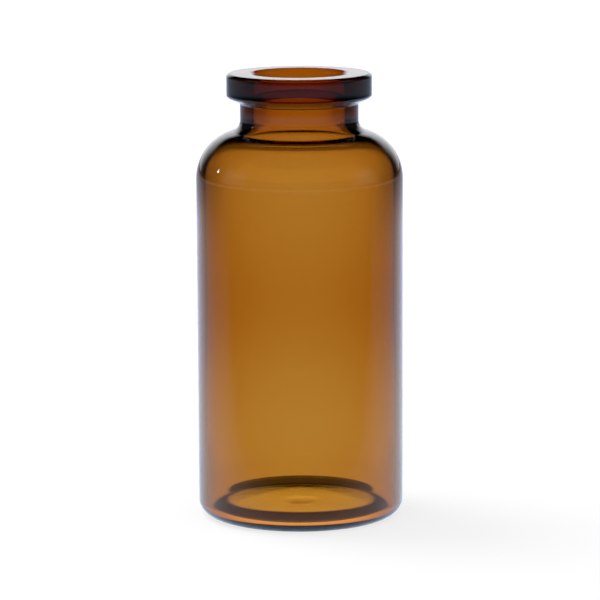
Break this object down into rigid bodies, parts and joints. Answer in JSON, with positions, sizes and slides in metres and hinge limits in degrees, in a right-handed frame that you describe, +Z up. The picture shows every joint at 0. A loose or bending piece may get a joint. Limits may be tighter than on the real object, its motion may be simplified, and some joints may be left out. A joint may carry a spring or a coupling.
{
  "type": "glass sample vial",
  "caption": "Amber glass sample vial with a round shoulder, a short neck and a flat-topped rim that takes a stopper and a crimp cap; one piece, open, with a pushed-up foot.",
  "frame": {"origin": "centre of the foot, on the plane that the vial stands on", "axes": "+Z up the vial's axis, out of the mouth; +X and +Y are any two square to it, as the vial is round"},
  "size_m": [0.0286, 0.0284, 0.0617],
  "materials": {
    "amber_glass": "clear amber, fire-polished"
  },
  "bodies": {
    "root": {"vial": "amber_glass"}
  },
  "joints": []
}
